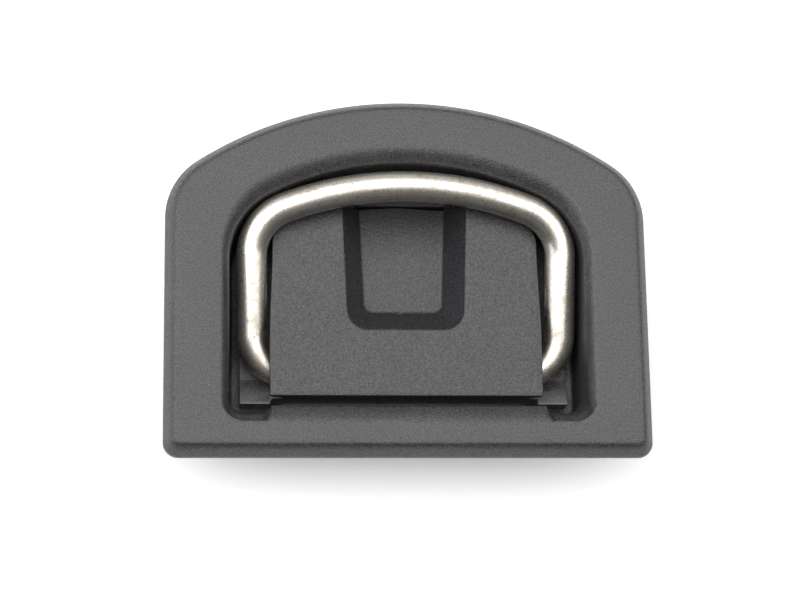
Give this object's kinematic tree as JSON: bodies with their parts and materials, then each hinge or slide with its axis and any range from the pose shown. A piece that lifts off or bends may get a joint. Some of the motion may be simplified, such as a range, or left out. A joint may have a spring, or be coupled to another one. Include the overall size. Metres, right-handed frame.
{
  "type": "pad eye",
  "caption": "Flush pad eye: a folding wire ring in a D-shaped moulded well with a push-in cover and a finger scoop, bolted through an anchor plate.",
  "frame": {"origin": "middle of the flange's underside, which is the deck plane, on the plane of symmetry", "axes": "+Z out of the deck, +Y towards the arched end, +X along the width and the ring's pivot"},
  "size_m": [0.0954, 0.0722, 0.0203],
  "materials": {
    "surround_plastic": "fine grained charcoal moulding",
    "cover_plastic": "fine grained charcoal moulding",
    "block_plastic": "plain dark moulding",
    "bush_plastic": "natural acetal",
    "ring_steel": "satin drawn stainless wire",
    "plate_steel": "rolled stainless sheet",
    "fastener_steel": "plain stainless",
    "gasket_rubber": "matt black rubber"
  },
  "bodies": {
    "surround": {"bezel": "surround_plastic", "deck_gasket": "gasket_rubber", "anchor_plate": "plate_steel", "anchor_screws": "fastener_steel", "bolt_seals": "gasket_rubber", "pivot_block": "block_plastic", "block_screws": "fastener_steel", "left_saddle": "plate_steel", "right_saddle": "plate_steel", "saddle_rivets": "fastener_steel", "left_bush": "bush_plastic", "right_bush": "bush_plastic", "left_grommet": "gasket_rubber", "right_grommet": "gasket_rubber", "left_buffer": "gasket_rubber", "right_buffer": "gasket_rubber", "cover": "cover_plastic"},
    "ring": {"ring": "ring_steel"}
  },
  "joints": [
    {"name": "ring_fold", "type": "hinge", "parent": "surround", "child": "ring", "pos_m": [0, -0.0173, -0.0088], "axis": [1, 0, 0], "range_deg": [0, 108]}
  ]
}
